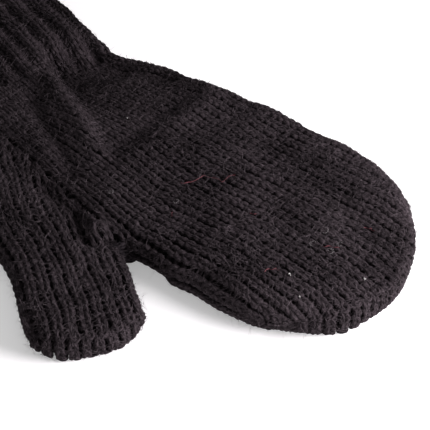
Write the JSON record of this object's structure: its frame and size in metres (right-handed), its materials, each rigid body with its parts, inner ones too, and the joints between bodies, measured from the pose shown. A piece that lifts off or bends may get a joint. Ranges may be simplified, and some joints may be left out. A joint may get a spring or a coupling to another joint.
{
  "type": "convertible flip-top mitten",
  "caption": "Hand-knit wool mitten for the left hand: ribbed cuff, gusseted thumb, and a cap that folds back off the fingers.",
  "frame": {"origin": "on the palm face, on the middle line of the hand at the wrist", "axes": "+Z out of the back of the hand, +Y along the hand to the fingertips, +X to the thumb side"},
  "size_m": [0.1779, 0.2764, 0.017],
  "materials": {
    "rib_wool": "2x2 ribbing in black wool, soft, slightly fuzzy, no gloss",
    "hand_wool": "stockinette in black wool, slightly fuzzy, no gloss",
    "cap_wool": "stockinette in black wool, slightly fuzzy, no gloss",
    "thumb_wool": "stockinette in black wool, slightly fuzzy, no gloss",
    "join_wool": "single strand of the same black wool, sewn"
  },
  "bodies": {
    "mitten": {"cuff_rib": "rib_wool", "cast_on_edge": "rib_wool", "hand_back": "hand_wool", "hand_palm": "hand_wool", "thumb_gusset": "thumb_wool", "thumb_tube": "thumb_wool", "thumb_tip_closure": "thumb_wool", "thumb_join_stitches": "join_wool", "fold_course": "hand_wool", "finger_opening_rib": "rib_wool"},
    "cap": {"cap_back": "cap_wool", "cap_palm": "cap_wool", "cap_hem_rib": "rib_wool", "cap_tip_closure": "cap_wool"}
  },
  "joints": [
    {"name": "cap_flip", "type": "hinge", "parent": "mitten", "child": "cap", "pos_m": [0, 0.1, 0.0178], "axis": [1, 0, 0], "range_deg": [0, 175]}
  ]
}
